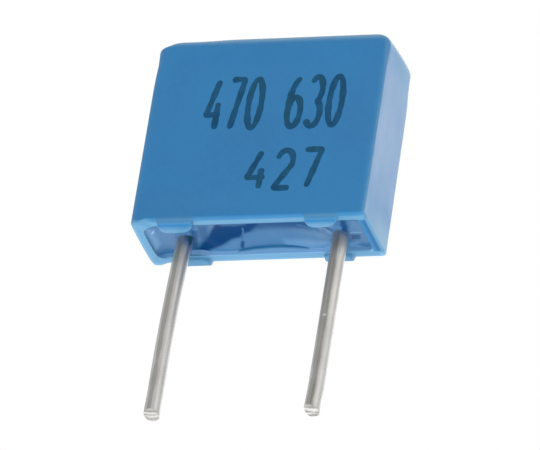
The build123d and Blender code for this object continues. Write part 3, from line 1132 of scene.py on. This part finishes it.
# ---------------- pieces
def build_pieces():
    """Makes each piece that shows, and gives the CAD nodes inside their finishes."""
    case = piece_from_grids("moulded_case", case_grids(), material(moulded_blue), ["case"])
    points = vertex_positions(case)
    paint(case, "edge", case_edges(points))
    paint(case, "tone", case_light_and_shade(points))

    resin = piece_from_grids("resin_potting", resin_grids(), material(potting_resin), ["resin_seal"])
    paint(resin, "tone", resin_light_and_shade(vertex_positions(resin)))

    wire = material(tinned_wire)
    left = piece_from_grids(
        "left_wire_lead", lead_grids(-1, LEFT_CUT_TURN), wire, ["left_lead"]
    )
    right = piece_from_grids(
        "right_wire_lead", lead_grids(1, RIGHT_CUT_TURN), wire, ["right_lead"]
    )
    paint_lead(left, -1)
    paint_lead(right, 1)

    ink = material(marking_ink)
    for name, *row in DIGIT_ROWS:
        piece_from_grids(name, marking_grids(*row), ink, merge=1e-5)

    finishes = {
        metallised_film: ("left_film_set", "right_film_set"),
        blank_film: ("front_cover_film", "back_cover_film"),
        sprayed_metal: ("left_metal_layer", "right_metal_layer"),
    }
    for describe, names in finishes.items():
        finish = material(describe)
        for name in names:
            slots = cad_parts[name].data.materials
            slots.clear()
            slots.append(finish)


# ---------------- camera, floor and light
PICTURE_WIDTH = 540
CAMERA_TURN = (20.759, -29.915, -8.806)
CAMERA_FOCAL = 10811.9
CAMERA_DISTANCE = 318.33
CAMERA_AIM = (0.2970, 0.0, 0.6501)

# Each lamp: its name, the direction it stands in, its distance, its size, its power, and whether it mirrors.
LAMPS = [
    ("low_lamp", (0.0, -0.35, -0.94), 320, 200, 0.85, False),
    ("right_lamp", (0.8, -0.35, 0.5), 320, 320, 0.3, True),
    ("rear_lamp", (0.31, 0.81, 0.5), 320, 340, 0.46, True),
    ("top_lamp", (-0.3, -0.35, 0.9), 320, 260, 0.2, True),
]
LAMP_AIM_Z = 3


def add_camera():
    """A long lens from below the front right, a little rolled, as the part would be held up to look at.

    CAMERA_TURN is its azimuth, elevation and roll in degrees. The focal length is in units of which
    the picture is PICTURE_WIDTH wide.
    """
    azimuth, elevation, roll = np.radians(CAMERA_TURN)
    level = np.cos(elevation)
    back = np.array([np.sin(azimuth) * level, -np.cos(azimuth) * level, np.sin(elevation)])
    right = np.array([np.cos(azimuth), np.sin(azimuth), 0])
    up = np.cross(back, right)
    across = np.cos(roll) * right - np.sin(roll) * up
    upward = np.sin(roll) * right + np.cos(roll) * up
    data = bpy.data.cameras.new("camera")
    data.sensor_width = 36
    data.lens = CAMERA_FOCAL / PICTURE_WIDTH * data.sensor_width
    data.clip_start, data.clip_end = 0.01, 10
    camera = place("camera", data)
    turn = Matrix(np.stack([across, upward, back], axis=1).tolist()).to_4x4()
    camera.matrix_world = Matrix.Translation(Vector((CAMERA_AIM + back * CAMERA_DISTANCE) * MM)) @ turn
    bpy.context.scene.camera = camera


def add_lamp(name, direction, distance, size, power, mirrors):
    """A square soft lamp that looks at the part from a direction. Sizes are in millimetres."""
    data = bpy.data.lights.new(name, "AREA")
    data.shape = "SQUARE"
    data.size = size * MM
    data.energy = power
    lamp = place(name, data)
    direction = Vector(direction).normalized()
    lamp.location = direction * distance * MM + Vector((0, 0, LAMP_AIM_Z * MM))
    lamp.rotation_mode = "QUATERNION"
    lamp.rotation_quaternion = direction.to_track_quat("Z", "Y")
    lamp.visible_glossy = mirrors


def add_floor():
    """A pale floor under the tips of the leads, which is clear from below and in reflections."""
    half, z = 900 * MM, TIP_Z * MM
    corners = [(-half, -half, z), (half, -half, z), (half, half, z), (-half, half, z)]
    mesh = bpy.data.meshes.new("floor")
    mesh.from_pydata(corners, [], [(0, 1, 2, 3)])
    floor = place("floor", mesh)
    made = bpy.data.materials.new("floor_paper")
    made.use_nodes = True
    tree = made.node_tree
    paper = tree.nodes["Principled BSDF"]
    settings = {"Base Color": linear(238, 238, 236), "Roughness": 0.9, "Specular IOR Level": 0.1}
    dress(tree, paper, settings)
    clear = node(tree, "ShaderNodeBsdfTransparent")
    behind = node(tree, "ShaderNodeNewGeometry").outputs["Backfacing"]
    path = node(tree, "ShaderNodeLightPath").outputs
    share = sums(tree, "MAXIMUM", path["Is Shadow Ray"], path["Is Glossy Ray"])
    share = sums(tree, "MAXIMUM", behind, share)
    blend = node(tree, "ShaderNodeMixShader", {0: share, 1: paper.outputs[0], 2: clear.outputs[0]})
    tree.links.new(blend.outputs[0], tree.nodes["Material Output"].inputs["Surface"])
    mesh.materials.append(made)


def add_world():
    """A white surround, which is softer as a light than it looks."""
    world = bpy.data.worlds.new("studio")
    bpy.context.scene.world = world
    world.use_nodes = True
    tree = world.node_tree
    light = node(tree, "ShaderNodeLightPath").outputs
    seen = sums(tree, "MAXIMUM", light["Is Camera Ray"], light["Is Glossy Ray"])
    seen = sums(tree, "MAXIMUM", seen, light["Is Transmission Ray"])
    soft = tree.nodes["Background"]
    dress(tree, soft, {"Color": (1, 1, 1, 1), "Strength": 0.5})
    white = node(tree, "ShaderNodeBackground", {"Color": (1, 1, 1, 1), "Strength": 1.0})
    blend = node(tree, "ShaderNodeMixShader", {0: seen, 1: soft.outputs[0], 2: white.outputs[0]})
    tree.links.new(blend.outputs[0], tree.nodes["World Output"].inputs["Surface"])


bpy.context.scene.view_settings.view_transform = "Standard"
build_pieces()
add_camera()
add_floor()
add_world()
for lamp_settings in LAMPS:
    add_lamp(*lamp_settings)
